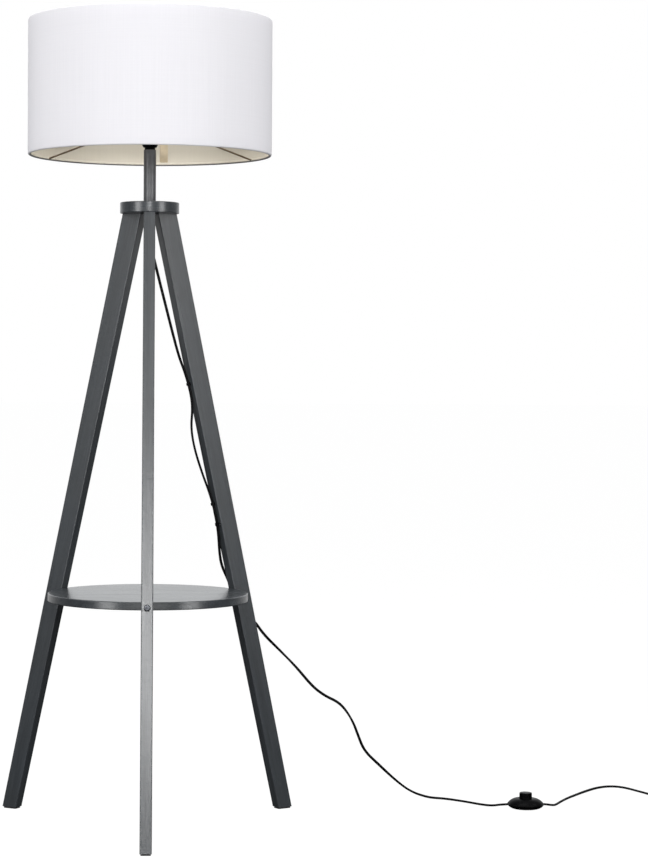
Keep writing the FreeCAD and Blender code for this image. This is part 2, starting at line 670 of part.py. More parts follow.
def cord_coil():
    """Outer shape of the wound spare cord: a ring of rounded section."""
    corners = coil_section(COIL_HALF_WIDTH, COIL_BOTTOM, COIL_BOTTOM + COIL_HEIGHT)
    ring = Part.Face(Part.makePolygon(corners + corners[:1])).revolve(V(0, 0, 0), UP, 360)
    ring = round_edges(ring, CORD_RADIUS, lambda edge: edge.Length > 100)
    ring.translate(V(COIL_X, COIL_Y, 0))
    return ring


def coil_tie():
    """Strap around the coil's section."""
    width = 9.0
    thickness = COIL_BOTTOM
    bottom = 0.0
    top = COIL_BOTTOM + COIL_HEIGHT + thickness
    outer = Part.makeBox(2 * (COIL_HALF_WIDTH + thickness), width, top - bottom,
                         V(COIL_MEAN_RADIUS - COIL_HALF_WIDTH - thickness, -width / 2, bottom))
    outer = round_edges(outer, CORD_RADIUS, lambda edge: abs(edge.Length - width) < 0.01)
    outer.rotate(V(0, 0, 0), UP, 35)
    outer.translate(V(COIL_X, COIL_Y, 0))
    return outer


def plug_body():
    """Flat moulded body, tapered towards the cord."""
    front = PLUG_REAR + 36
    outline = [V(-9, PLUG_REAR, 0), V(9, PLUG_REAR, 0), V(17.6, PLUG_REAR + 17, 0), V(17.6, front, 0),
               V(-17.6, front, 0), V(-17.6, PLUG_REAR + 17, 0)]
    body = Part.Face(Part.makePolygon(outline + outline[:1])).extrude(V(0, 0, 2 * PLUG_AXIS_Z))
    body = round_edges(body, 2.5, lambda edge: abs(edge.CenterOfMass.y - front) > 0.01)
    body.translate(V(PLUG_X, 0, 0))
    return body


def plug_relief():
    """Tapered flexible sleeve between plug and cord."""
    start = PLUG_REAR - 25
    cone = Part.makeCone(3.6, 5.2, 25, V(PLUG_X, start, PLUG_AXIS_Z), V(0, 1, 0))
    for i in range(4):
        y = start + 5 + 5 * i
        groove = Part.makeBox(20, 1.2, 20, V(PLUG_X - 10, y, PLUG_AXIS_Z - 10))
        core = Part.makeCylinder(3.0, 1.2, V(PLUG_X, y, PLUG_AXIS_Z), V(0, 1, 0))
        cone = cone.cut(groove.cut(core))
    return cone


def plug_pins():
    pins = []
    for side in (-1, 1):
        x = PLUG_X + side * PIN_SPACING / 2
        pin = Part.makeCylinder(PIN_RADIUS, PIN_LENGTH, V(x, PLUG_REAR + 36, PLUG_AXIS_Z), V(0, 1, 0))
        pins.append(round_edges(pin, 1.2, lambda edge: edge.CenterOfMass.y > PLUG_REAR + 36 + PIN_LENGTH - 0.01
                                and edge.Length > 10))
    return pins


# ---- build ----------------------------------------------------------------------------------
def build_tripod():
    inner_normal, side_normal = leg_normals()
    clips = [clip_placement(7, inner_normal, 1), clip_placement(13, inner_normal, 1),
             clip_placement(14, inner_normal, -1), clip_placement(20, side_normal, 1)]
    nails = [placed(clip_nail(), clip) for clip in clips]
    for name, azimuth in LEG_AZIMUTHS.items():
        leg = spin(leg_solid(), azimuth)
        if name == "leg_right":
            for nail in nails:
                leg = leg.cut(nail)
            save("cable_clips", *[placed(clip_body(), clip).cut(leg) for clip in clips])
        save(name, leg)
    save("clip_nails", *nails)
    save("foot_pads", *around(foot_pad()))
    save("hub_disc", hub_solid())
    save("shelf", shelf_solid())
    save("shelf_bolts", *around(lay_along_x(button_head_bolt(), SHELF_BOLT_SEAT, SHELF_MIDDLE)))
    end = SHELF_INSERT_OUTER_END - INSERT_LENGTH
    insert = tube(INSERT_RADIUS, BOLT_RADIUS, 0, INSERT_LENGTH)
    save("shelf_inserts", *around(lay_along_x(insert, end, SHELF_MIDDLE)))
    save("hub_bolts", *around(countersunk_bolt()))
    leg_insert = tube(INSERT_RADIUS, BOLT_RADIUS, HUB_BOTTOM - INSERT_LENGTH, HUB_BOTTOM, HUB_BOLT_R)
    save("leg_inserts", *around(leg_insert))
    dowel = rod(DOWEL_RADIUS, HUB_BOTTOM - DOWEL_IN_LEG + 1, HUB_BOTTOM + DOWEL_IN_HUB - 1, DOWEL_R)
    save("leg_dowels", *around(dowel))


WASHER_THICKNESS = 1.5
NUT_HEIGHT = 5.0
NUT_ACROSS_FLATS = 17.0


def build_stem():
    save("stem_tube", tube(STEM_RADIUS, STEM_RADIUS - STEM_WALL, HUB_TOP, HOLDER_BOTTOM - NECK_HEIGHT))
    save("threaded_tube", tube(THREAD_RADIUS, THREAD_BORE, THREADED_BOTTOM, THREADED_TOP))
    nut_top = HUB_BOTTOM - WASHER_THICKNESS
    save("hub_washer", tube(12.0, HUB_BORE, nut_top, HUB_BOTTOM))
    nut = hexagon(NUT_ACROSS_FLATS, nut_top - NUT_HEIGHT, nut_top)
    save("hub_nut", nut.cut(rod(THREAD_RADIUS, nut_top - NUT_HEIGHT, nut_top)))
    bush = turned_polygon([(CORD_RADIUS, BUSH_BOTTOM + 4), (3.4, BUSH_BOTTOM), (4.4, BUSH_BOTTOM),
                           (6.6, BUSH_BOTTOM + 16), (7.0, BUSH_BOTTOM + 27), (THREAD_RADIUS, BUSH_BOTTOM + 27),
                           (THREAD_RADIUS, THREADED_BOTTOM), (CORD_RADIUS, THREADED_BOTTOM)])
    save("cord_bush", bush)
    save("stem_lead", rod(CORD_RADIUS, BUSH_BOTTOM + 0.2, HOLDER_BOTTOM + 20))


def build_lampholder():
    save("lampholder_cap", lampholder_cap())
    save("lampholder_body", lampholder_body())
    save("lampholder_insert", lampholder_insert())
    save("screw_shell", tube(BODY_BORE - 0.1, BODY_BORE - 0.7, SHELL_BOTTOM, FLANGE_TOP + 16))
    save("centre_contact", centre_contact())
    save("shade_ring_nut", shade_ring_nut())
    save("bulb_cap", bulb_cap())
    save("bulb_insulator", bulb_insulator())
    save("bulb_tip", bulb_tip())
    save("bulb_housing", bulb_housing())
    save("bulb_dome", bulb_dome())


def build_shade():
    low_ring = Part.makeTorus(WIRE_R, SHADE_WIRE, V(0, 0, WIRE_LOW))
    ends = ((FITTER_OUTER - 0.5, FLANGE_TOP + 1), (WIRE_R, WIRE_LOW))
    arm = arm_along(ARM_RADIUS, *ends).cut(low_ring).cut(rod(FITTER_OUTER, FLANGE_TOP - 9, FLANGE_TOP + 9))
    arm = max(arm.Solids, key=lambda piece: piece.Volume)
    hole_start = (WIRE_R - 12, WIRE_LOW + 12 * (ends[0][1] - WIRE_LOW) / (WIRE_R - ends[0][0]))
    hole = arm_along(ARM_RADIUS + 0.4, hole_start, ends[1])
    save("shade_panel", shade_panel(around(hole)))
    save("shade_bottom_ring", low_ring)
    save("shade_top_ring", Part.makeTorus(WIRE_R, SHADE_WIRE, V(0, 0, WIRE_HIGH)))
    save("spider_arms", *around(arm))
    save("fitter_ring", fitter_ring())


def build_cord():
    coil = cord_coil()
    tie = coil_tie().cut(coil)
    save_placed("cord_to_switch", cord_tube("cord_to_switch", ROUTE_TO_SWITCH))
    save_placed("cord_to_coil", cord_tube("cord_to_coil", ROUTE_TO_COIL).cut(coil))
    save_placed("cord_to_plug", cord_tube("cord_to_plug", ROUTE_TO_PLUG).cut(coil))
    save_placed("cord_coil", coil)
    save_placed("coil_tie", tie)
    save_placed("plug_body", plug_body())
    save_placed("plug_relief", plug_relief())
    save_placed("plug_pins", *plug_pins())


def build_switch():
    save_placed("switch_cover", at_switch(switch_cover()))
    save_placed("switch_base", at_switch(switch_base()))
    save_placed("switch_button", at_switch(switch_button()))
    save_placed("switch_spring", at_switch(switch_spring()))
    save_placed("switch_block", at_switch(switch_block()))
    save_placed("switch_terminals", *[at_switch(solid) for solid in switch_terminals()])
    save_placed("switch_screws", *[at_switch(solid) for solid in switch_screws()])
    save_placed("switch_grips", *[at_switch(solid) for solid in cord_grips()])


build_tripod()
build_stem()
build_lampholder()
build_shade()
build_cord()
build_switch()
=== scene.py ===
import json
import math

import bpy
from mathutils import Matrix, Vector, noise


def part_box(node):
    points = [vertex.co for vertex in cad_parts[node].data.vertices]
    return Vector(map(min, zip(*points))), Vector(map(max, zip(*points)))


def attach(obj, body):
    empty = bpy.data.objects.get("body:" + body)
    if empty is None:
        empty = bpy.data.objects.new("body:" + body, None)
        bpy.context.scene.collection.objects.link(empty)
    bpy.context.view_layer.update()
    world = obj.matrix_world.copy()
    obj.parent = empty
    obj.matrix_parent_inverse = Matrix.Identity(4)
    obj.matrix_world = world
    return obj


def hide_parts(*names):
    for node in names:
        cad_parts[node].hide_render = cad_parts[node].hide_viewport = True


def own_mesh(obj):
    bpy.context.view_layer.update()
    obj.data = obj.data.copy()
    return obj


# Looks of the tripod floor lamp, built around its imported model.  Metres, +Z up.

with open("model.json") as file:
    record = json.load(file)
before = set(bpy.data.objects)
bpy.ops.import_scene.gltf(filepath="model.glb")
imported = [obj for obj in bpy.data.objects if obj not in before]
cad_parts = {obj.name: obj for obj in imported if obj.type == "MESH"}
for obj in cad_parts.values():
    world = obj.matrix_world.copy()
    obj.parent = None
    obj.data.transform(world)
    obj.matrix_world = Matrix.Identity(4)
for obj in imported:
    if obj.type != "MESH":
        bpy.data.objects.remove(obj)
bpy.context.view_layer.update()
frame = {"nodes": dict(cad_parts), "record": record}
NODES = frame["nodes"]
RECORD = frame["record"]


def middle(node):
    """The centre of a node's box."""
    low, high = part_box(node)
    return (low + high) / 2


AXIS = middle("hub_disc")
AXIS.z = 0.0


# ---- camera ---------------------------------------------------------------------------------
CAMERA_PLACE = (0.0263, -4.4588, 0.8434)
CAMERA_YAW = 0.02697            # radians, from +Y towards +X
CAMERA_PITCH = 0.02399          # radians, downwards
CAMERA_ROLL = 0.0055
CAMERA_LENS = 101.32            # mm
CAMERA_SENSOR = 36.0            # mm, along the picture's height
CAMERA_SHIFT = 0.1118           # the lamp stands left of the lens axis


def add_camera():
    """A view from the front, with the lens shifted sideways so that the lamp stands left in the picture."""
    yaw, pitch, roll = CAMERA_YAW, CAMERA_PITCH, CAMERA_ROLL
    forward = Vector((math.sin(yaw) * math.cos(pitch), math.cos(yaw) * math.cos(pitch), -math.sin(pitch)))
    level = Vector((math.cos(yaw), -math.sin(yaw), 0.0))
    upward = level.cross(forward)
    side = level * math.cos(roll) + upward * math.sin(roll)
    camera = bpy.data.objects.new("camera", bpy.data.cameras.new("camera"))
    camera.data.lens = CAMERA_LENS
    camera.data.shift_x = CAMERA_SHIFT
    camera.data.sensor_width = CAMERA_SENSOR
    camera.data.clip_end = 200.0
    turn = Matrix((side, side.cross(forward), -forward)).transposed()
    camera.matrix_world = Matrix.Translation(CAMERA_PLACE) @ turn.to_4x4()
    bpy.context.scene.collection.objects.link(camera)
    bpy.context.scene.camera = camera


add_camera()


# ---- helpers --------------------------------------------------------------------------------
def link(obj):
    bpy.context.scene.collection.objects.link(obj)
    return obj


def mesh_object(name, points, faces, smooth=True):
    mesh = bpy.data.meshes.new(name)
    mesh.from_pydata([tuple(p) for p in points], [], faces)
    mesh.validate()
    for polygon in mesh.polygons:
        polygon.use_smooth = smooth
    return link(bpy.data.objects.new(name, mesh))


def linear(*colour):
    """A colour given from 0 to 255 as the shader wants it."""
    parts = [c / 255 for c in colour]
    return tuple(c / 12.92 if c <= 0.04045 else ((c + 0.055) / 1.055) ** 2.4 for c in parts) + (1.0,)


class Shader:
    """A material round one Principled node, with short names for the nodes it is built from."""

    def __init__(self, name, **sockets):
        self.material = bpy.data.materials.new(name)
        self.material.use_nodes = True
        self.tree = self.material.node_tree
        self.main = self.tree.nodes["Principled BSDF"]
        self.set(**sockets)

    def set(self, **sockets):
        for key, value in sockets.items():
            self.plug(self.main, key.replace("_", " ").title().replace("Ior", "IOR"), value)

    def plug(self, made, key, value):
        if isinstance(value, bpy.types.NodeSocket):
            self.tree.links.new(value, made.inputs[key])
        else:
            made.inputs[key].default_value = value

    def node(self, kind, inputs, **settings):
        made = self.tree.nodes.new("ShaderNode" + kind)
        for key, value in settings.items():
            setattr(made, key, value)
        for key, value in inputs.items():
            self.plug(made, key, value)
        return made

    def place(self, stretch=(1, 1, 1), turn=(0, 0, 0), source="Object"):
        """Coordinates turned first and stretched after."""
        where = self.node("TexCoord", {}).outputs[source]
        if any(turn):
            where = self.node("Mapping", {"Vector": where, "Rotation": turn}).outputs[0]
        return self.node("Mapping", {"Vector": where, "Scale": stretch}).outputs[0]

    def noise(self, where, scale, detail=3.0, rough=0.55, distortion=0.0):
        return self.node("TexNoise", {"Vector": where, "Scale": scale, "Detail": detail,
                                      "Roughness": rough, "Distortion": distortion}).outputs[0]

    def wave(self, where, scale, direction, distortion=0.0):
        return self.node("TexWave", {"Vector": where, "Scale": scale, "Distortion": distortion},
                         bands_direction=direction).outputs[1]

    def range(self, value, low, high, to_low=0.0, to_high=1.0):
        return self.node("MapRange", {"Value": value, "From Min": low, "From Max": high,
                                      "To Min": to_low, "To Max": to_high}).outputs[0]

    def math(self, operation, a, b):
        return self.node("Math", {0: a, 1: b}, operation=operation).outputs[0]

    def mix(self, share, a, b):
        return self.node("MixRGB", {"Fac": share, "Color1": a, "Color2": b}).outputs[0]

    def bump(self, height, strength, distance):
        made = self.node("Bump", {"Height": height, "Strength": strength, "Distance": distance})
        self.set(normal=made.outputs[0])


# ---- materials ------------------------------------------------------------------------------
LEG_RUN, LEG_RISE = 0.2647, 1.136       # of a leg's outer face, outwards and upwards
LEG_LEAN = math.atan2(LEG_RUN, LEG_RISE)


def painted_wood(name, turn, knot=None, contrast=1.0):
    """Slate-grey satin paint over open-grained wood.  The grain runs along Z after the turn."""
    s = Shader(name, coat_weight=0.35, coat_roughness=0.2)
    along = s.place((1, 1, 0.035), turn)
    pores = s.noise(along, 620.0, 4.0, 0.62)
    bands = s.noise(along, 120.0, 3.0, 0.5, 0.4)
    cloud = s.noise(s.place(), 9.0, 2.0)
    streak = s.math("ADD", s.math("MULTIPLY", pores, 0.55), s.math("MULTIPLY", bands, 0.45))
    grain = s.range(streak, 0.5 - 0.14 / contrast, 0.5 + 0.14 / contrast)
    colour = s.mix(grain, linear(39, 43, 47), linear(60, 64, 68))
    colour = s.mix(s.range(cloud, 0.35, 0.65, 0.0, 0.35), colour, linear(49, 51, 52))
    if knot:
        where = s.node("TexCoord", {}).outputs["Object"]
        apart = s.node("VectorMath", {0: where, 1: knot}, operation="DISTANCE").outputs["Value"]
        colour = s.mix(s.range(apart, 0.0022, 0.0045, 0.75, 0.0), colour, linear(22, 22, 24))
    s.set(base_color=colour, roughness=s.range(grain, 0.0, 1.0, 0.34, 0.27))
    s.bump(streak, 0.35, 0.0004)
    return s.material


def leg_turn(azimuth):
    """Turns the lamp's coordinates so that this leg's outer face runs along Z."""
    turn = Matrix.Rotation(LEG_LEAN, 3, "Y") @ Matrix.Rotation(math.radians(-azimuth), 3, "Z")
    return tuple(turn.to_euler("XYZ"))


def smooth_metal(name, colour, roughness, spots, metallic=1.0):
    """Metal with faint drawing marks and small colour changes."""
    s = Shader(name, metallic=metallic)
    marks = s.noise(s.place((1, 1, 0.15)), 900.0, 3.0)
    cloud = s.noise(s.place(), spots, 3.0)
    darker = tuple(c * 0.72 for c in colour[:3]) + (1.0,)
    s.set(base_color=s.mix(s.range(cloud, 0.35, 0.7), colour, darker),
          roughness=s.range(marks, 0.3, 0.7, roughness * 0.8, roughness * 1.3))
    s.bump(marks, 0.15, 0.0001)
    return s.material


def moulded(name, colour, roughness, grain=1800.0, shine=0.5):
    """Moulded plastic, rubber or ceramic: fine grain, faint dust in the colour."""
    s = Shader(name, specular_ior_level=shine)
    fine = s.noise(s.place(), grain, 2.0)
    cloud = s.noise(s.place(), 45.0, 4.0)
    paler = tuple(min(1.0, c * 1.35 + 0.001) for c in colour[:3]) + (1.0,)
    s.set(base_color=s.mix(s.range(cloud, 0.45, 0.75, 0.0, 0.6), colour, paler),
          roughness=s.range(cloud, 0.3, 0.7, roughness * 0.85, roughness * 1.2))
    s.bump(fine, 0.25, 0.00005)
    return s.material


def opal():
    """Milky glass that lets some light in."""
    s = Shader("opal_glass", subsurface_weight=0.4, subsurface_scale=0.01, coat_weight=0.3)
    cloud = s.noise(s.place(), 60.0, 2.0)
    s.set(base_color=s.mix(cloud, linear(242, 242, 238), linear(250, 250, 247)),
          roughness=s.range(cloud, 0.3, 0.7, 0.25, 0.35))
    return s.material


def woven():
    """White plain weave with uneven threads, on the cloth's own flat coordinates."""
    s = Shader("shade_cloth", sheen_weight=0.02, sheen_roughness=0.5, specular_ior_level=0.25)
    flat = s.place(source="UV")
    across = s.wave(flat, 265.0, "X", 0.4)
    along = s.wave(flat, 265.0, "Y", 0.4)
    weave = s.math("MULTIPLY", across, along)
    upright = s.noise(s.place((1, 0.012, 1), source="UV"), 420.0, 3.0)
    level = s.noise(s.place((0.012, 1, 1), source="UV"), 420.0, 3.0)
    slub = s.math("ADD", s.math("MULTIPLY", upright, 0.6), s.math("MULTIPLY", level, 0.4))
    height = s.math("ADD", s.math("MULTIPLY", weave, 0.35), slub)
    s.set(base_color=s.mix(s.range(slub, 0.38, 0.62), linear(210, 209, 213), linear(213, 212, 216)),
          roughness=s.range(slub, 0.3, 0.7, 0.82, 0.92))
    s.bump(height, 0.05, 0.0002)
    return s.material


def liner():
    """Cream film on the inside of the shade, faintly showing the cloth behind it."""
    s = Shader("shade_liner")
    upright = s.noise(s.place((1, 0.012, 1), source="UV"), 420.0, 3.0)
    cloud = s.noise(s.place(), 14.0, 3.0)
    tone = s.math("ADD", s.math("MULTIPLY", upright, 0.4), s.math("MULTIPLY", cloud, 0.6))
    s.set(base_color=s.mix(s.range(tone, 0.35, 0.65), linear(208, 201, 186), linear(214, 207, 192)),
          roughness=s.range(cloud, 0.3, 0.7, 0.42, 0.55))
    s.bump(upright, 0.15, 0.0002)
    return s.material


def strap_cloth():
    """Soft black loop strap."""
    s = Shader("strap", sheen_weight=0.6, roughness=0.95)
    loops = s.noise(s.place(), 2600.0, 2.0)
    s.set(base_color=s.mix(loops, linear(16, 16, 17), linear(44, 44, 46)))
    s.bump(loops, 0.8, 0.0004)
    return s.material


def raw_wood():
    """Bare beech with short flecks along Z."""
    s = Shader("raw_beech")
    flecks = s.noise(s.place((1, 1, 0.06)), 900.0, 3.0)
    s.set(base_color=s.mix(flecks, linear(186, 146, 104), linear(216, 182, 140)),
          roughness=s.range(flecks, 0.3, 0.7, 0.55, 0.7))
    s.bump(flecks, 0.3, 0.0002)
    return s.material


KNOT = (0.0007, -0.2630, 0.058)
ALONG_X = (0.0, math.radians(90), 0.0)
LOOKS = {
    "leg_front": painted_wood("wood_leg_front", leg_turn(-90), KNOT),
    "leg_left": painted_wood("wood_leg_left", leg_turn(150)),
    "leg_right": painted_wood("wood_leg_right", leg_turn(30)),
    "hub_disc": painted_wood("wood_hub", ALONG_X, contrast=1.8),
    "shelf": painted_wood("wood_shelf", ALONG_X, contrast=1.8),
}
SLOT_LOOKS = {
    "pad_rubber": moulded("pad_rubber", linear(34, 34, 35), 0.8),
    "dark_steel": smooth_metal("dark_steel", linear(118, 120, 126), 0.35, 160.0, 0.85),
    "zinc_steel": smooth_metal("zinc_steel", linear(200, 202, 206), 0.3, 120.0),
    "beech": raw_wood(),
    "stem_paint": smooth_metal("stem_paint", linear(88, 89, 92), 0.36, 60.0, 0.25),
    "black_plastic": moulded("black_plastic", linear(5, 5, 6), 0.36, shine=0.05),
    "ceramic": moulded("ceramic", linear(232, 228, 218), 0.45),
    "brass": smooth_metal("brass", linear(214, 178, 108), 0.28, 140.0),
    "bulb_metal": smooth_metal("bulb_metal", linear(214, 214, 212), 0.32, 90.0),
    "bulb_white": moulded("bulb_white", linear(240, 240, 238), 0.4),
    "bulb_opal": opal(),
    "shade_fabric": woven(),
    "shade_wire": smooth_metal("shade_wire", linear(128, 112, 92), 0.4, 80.0, 0.6),
    "cord_pvc": moulded("cord_pvc", linear(6, 6, 7), 0.5, 1200.0, shine=0.08),
    "tie": strap_cloth(),
    "block_plastic": moulded("block_plastic", linear(214, 208, 192), 0.5),
}
LINER = liner()
SEAM_FILM = moulded("seam_film", linear(212, 196, 168), 0.4)
# Grey painted shade for the underside of the bottom hem, towards the inside.
HEM_PAINTED_SHADE = moulded("hem_painted_shade", linear(120, 119, 118), 0.7)

slot_of = {part["node"]: part["material_slot"] for part in RECORD["subparts"]}
for name, obj in NODES.items():
    obj.data.materials.clear()
    obj.data.materials.append(LOOKS.get(name) or SLOT_LOOKS[slot_of[name]])


def finish_piece(obj, slot, *replaced):
    """Gives a new piece the look of its slot unless it has one, hides the nodes that it stands for, and hangs
    it on the lamp's body.
    """
    if not obj.data.materials:
        obj.data.materials.append(SLOT_LOOKS[slot])
    if replaced:
        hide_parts(*replaced)
    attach(obj, "lamp")
    return obj


# ---- cords ----------------------------------------------------------------------------------
CORD_WIDTH = 0.0054
CORD_THICKNESS = 0.0042
ON_FLOOR, OFF_FLOOR = 0.0032, 0.0080    # heights between which the cord stops resting on the floor
STEEP = 0.35                            # sine of the angle from upright, below which nothing levels the cord
LEVELLING = 0.5                         # how strongly a less steep cord turns level

TO_SWITCH = [
    (0.0, 0.046, 1.098), (0.0005, 0.0465, 1.080), (0.0073, 0.0543, 1.058), (0.0179, 0.0621, 1.015),
    (0.0278, 0.0678, 0.977), (0.0412, 0.0756, 0.925), (0.0555, 0.0838, 0.872), (0.0687, 0.0897, 0.838),
    (0.0791, 0.0900, 0.800), (0.0822, 0.0917, 0.772), (0.0793, 0.0930, 0.738), (0.0855, 0.0977, 0.700),
    (0.0996, 0.1069, 0.655), (0.1160, 0.1166, 0.612), (0.1271, 0.1166, 0.572), (0.1329, 0.1249, 0.535),
    (0.1351, 0.1315, 0.500), (0.1394, 0.1414, 0.474), (0.1505, 0.1505, 0.450), (0.1605, 0.1562, 0.425),
    (0.1698, 0.1601, 0.400), (0.1852, 0.1690, 0.380), (0.2050, 0.1806, 0.363), (0.2231, 0.1940, 0.3362),
    (0.2525, 0.2042, 0.3068), (0.2872, 0.2157, 0.2713), (0.3199, 0.2263, 0.2315), (0.3450, 0.2344, 0.2122),
    (0.3702, 0.2425, 0.1998), (0.3865, 0.2478, 0.1836), (0.4024, 0.2528, 0.1572), (0.4112, 0.2556, 0.1336),
    (0.4241, 0.2597, 0.1013), (0.4527, 0.2688, 0.0736), (0.4887, 0.2800, 0.0392), (0.5200, 0.2905, 0.015),
    (0.5540, 0.2976, 0.0028), (0.5880, 0.2860, 0.0028), (0.6218, 0.2540, 0.0028), (0.6490, 0.2220, 0.0028),
    (0.6690, 0.2035, 0.0036), (0.6880, 0.1940, 0.0074), (0.7127, 0.1940, 0.008)]

TO_COIL = [
    (0.7547, 0.1940, 0.008), (0.7695, 0.1940, 0.0079), (0.7815, 0.1970, 0.0060), (0.7910, 0.2056, 0.0042),
    (0.7990, 0.2245, 0.003), (0.8130, 0.2560, 0.0028), (0.8360, 0.3005, 0.0028), (0.8780, 0.3660, 0.0028),
    (0.9025, 0.4000, 0.0028), (0.9190, 0.4170, 0.0028), (0.9380, 0.4285, 0.0028), (0.9575, 0.4250, 0.0028),
    (0.9720, 0.4065, 0.0028), (0.9840, 0.3790, 0.0028), (1.0020, 0.3404, 0.0028), (1.0151, 0.3029, 0.0028),
    (1.0272, 0.2584, 0.0028)]

TO_PLUG = [
    (1.0890, 0.1760, 0.0076), (1.1090, 0.1800, 0.0056), (1.1250, 0.1940, 0.0054), (1.1305, 0.2140, 0.0069),
    (1.1305, 0.2320, 0.0069)]

COIL_CENTRE = (1.0650, 0.2110)
COIL_RADII = (0.0317, 0.0283)
COIL_HEIGHTS = (0.0036, 0.0092)
COIL_TURNS = 4.25
POINTS_A_TURN = 16
COIL_INWARD = (0.85, 1.1)       # counted in turns: where the cord moves to the inner ring,
COIL_UPWARD = (1.9, 2.15)       # climbs to the upper layer,
COIL_OUTWARD = (2.95, 3.2)      # and goes back to the outer ring


def glide(value, start, end):
    """0 before start, 1 after end, smooth between them."""
    t = min(max((value - start) / (end - start), 0.0), 1.0)
    return t * t * (3 - 2 * t)


def coil_points():
    """The turns of the wound spare cord: out, in, up, and out again."""
    points = []
    for i in range(int(COIL_TURNS * POINTS_A_TURN) + 1):
        turns = i / POINTS_A_TURN
        inward = glide(turns, *COIL_INWARD) - glide(turns, *COIL_OUTWARD)
        upward = glide(turns, *COIL_UPWARD)
        radius = COIL_RADII[0] + (COIL_RADII[1] - COIL_RADII[0]) * inward
        height = COIL_HEIGHTS[0] + (COIL_HEIGHTS[1] - COIL_HEIGHTS[0]) * upward
        angle = math.pi + 2 * math.pi * turns
        points.append((COIL_CENTRE[0] + radius * math.cos(angle),
                       COIL_CENTRE[1] + radius * math.sin(angle), height))
    return points


def smooth_line(name, points):
    """Points along one smooth NURBS line with these control points."""
    curve = bpy.data.curves.new(name, "CURVE")
    curve.dimensions = "3D"
    curve.resolution_u = 8
    spline = curve.splines.new("NURBS")
    spline.points.add(len(points) - 1)
    for point, place in zip(spline.points, points):
        point.co = (*place, 1.0)
    spline.order_u = 3
    spline.use_endpoint_u = True
    obj = bpy.data.objects.new(name, curve)
    mesh = bpy.data.meshes.new_from_object(obj)
    line = [v.co.copy() for v in mesh.vertices]
    bpy.data.meshes.remove(mesh)
    bpy.data.objects.remove(obj)
    bpy.data.curves.remove(curve)
    return line


def flat_section(steps=8):
    """The flat cord's outline: two half circles joined by straight sides."""
    radius = CORD_THICKNESS / 2
    offset = CORD_WIDTH / 2 - radius
    outline = []
    for side in (1, -1):
        for i in range(steps + 1):
            angle = math.pi * (i / steps - 0.5)
            outline.append((side * (offset + radius * math.cos(angle)), side * radius * math.sin(angle)))
    return outline


def tube_faces(rings, count):
    """The sides and the two ends of a tube with this many rings of count points."""
    faces = []
    for i in range(rings - 1):
        this, after = i * count, (i + 1) * count
        for j in range(count):
            turn = (j + 1) % count
            faces.append((this + j, this + turn, after + turn, after + j))
    faces.append(tuple(range(count))[::-1])
    faces.append(tuple((rings - 1) * count + j for j in range(count)))
    return faces


def flat_cord(name, points, twist_at):
    """A flat cord that follows the line.  twist_at gives its roll from level, at a distance along it."""
    line = smooth_line(name, points)
    section = flat_section()
    half, rod = CORD_WIDTH / 2, CORD_THICKNESS / 2
    rings, centres = [], []
    along = 0.0
    level = Vector((1, 0, 0))
    for i, place in enumerate(line):
        ahead = (line[min(i + 1, len(line) - 1)] - line[max(i - 1, 0)]).normalized()
        if i:
            along += (place - line[i - 1]).length
        flat = ahead.cross(Vector((0, 0, 1)))
        level = (level - ahead * level.dot(ahead)).normalized()
        if flat.length > STEEP:
            way = 1 if flat.dot(level) > 0 else -1
            level = (level + flat.normalized() * LEVELLING * way).normalized()
        upward = level.cross(ahead)
        roll = twist_at(along)
        wide = level * math.cos(roll) + upward * math.sin(roll)
        thin = upward * math.cos(roll) - level * math.sin(roll)
        reach = abs(wide.z) * (half - rod) + rod
        sink = (half - reach) * (1 - glide(place.z, ON_FLOOR, OFF_FLOOR))
        centre = place - Vector((0, 0, sink))
        centres.append(centre)
        rings.append([centre + wide * a + thin * b for a, b in section])
    obj = mesh_object(name, [p for ring in rings for p in ring], tube_faces(len(rings), len(section)))
    return obj, centres


# Stretches of the cords, in metres along, over which a twist comes in or dies away.
LEAVES_LEG, NEARS_FLOOR, REACHES_FLOOR, NEARS_SWITCH = (0.62, 0.80), (1.16, 1.26), (1.2, 1.3), (1.38, 1.46)
NEARS_COIL, ENTERS_COIL = (0.38, 0.48), (0.42, 0.54)


def leg_twist(s):
    """Roll at s metres along: some on the leg, most in the air, a little on the floor, none at the switch."""
    held = 0.5 * math.sin(s * 11.0) * (1 - glide(s, *REACHES_FLOOR))
    in_air = 1.3 * math.sin(s * 17.0 + 0.8) * glide(s, *LEAVES_LEG) * (1 - glide(s, *NEARS_FLOOR))
    all_along = 0.25 * math.sin(s * 23.0) * (1 - glide(s, *NEARS_SWITCH))
    return held + in_air + all_along


def floor_twist(s):
    """Roll at s metres along: a little on the floor, and on edge in the coil, as a flat cord winds."""
    on_floor = 0.3 * math.sin(s * 19.0) * (1 - glide(s, *NEARS_COIL))
    in_coil = math.pi / 2 * glide(s, *ENTERS_COIL)
    return on_floor + in_coil


cord_a, line_a = flat_cord("cord_lamp_to_switch", TO_SWITCH, leg_twist)
finish_piece(cord_a, "cord_pvc", "cord_to_switch")
cord_b, line_b = flat_cord("cord_switch_to_plug", TO_COIL + coil_points() + TO_PLUG, floor_twist)
finish_piece(cord_b, "cord_pvc", "cord_to_coil", "cord_coil", "cord_to_plug")


def contact_spring():
    """The coil spring under the button, as a piece of its own."""
    spring = link(bpy.data.objects.new("contact_spring", NODES["switch_spring"].data.copy()))
    finish_piece(spring, "zinc_steel", "switch_spring")
    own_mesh(spring)


contact_spring()


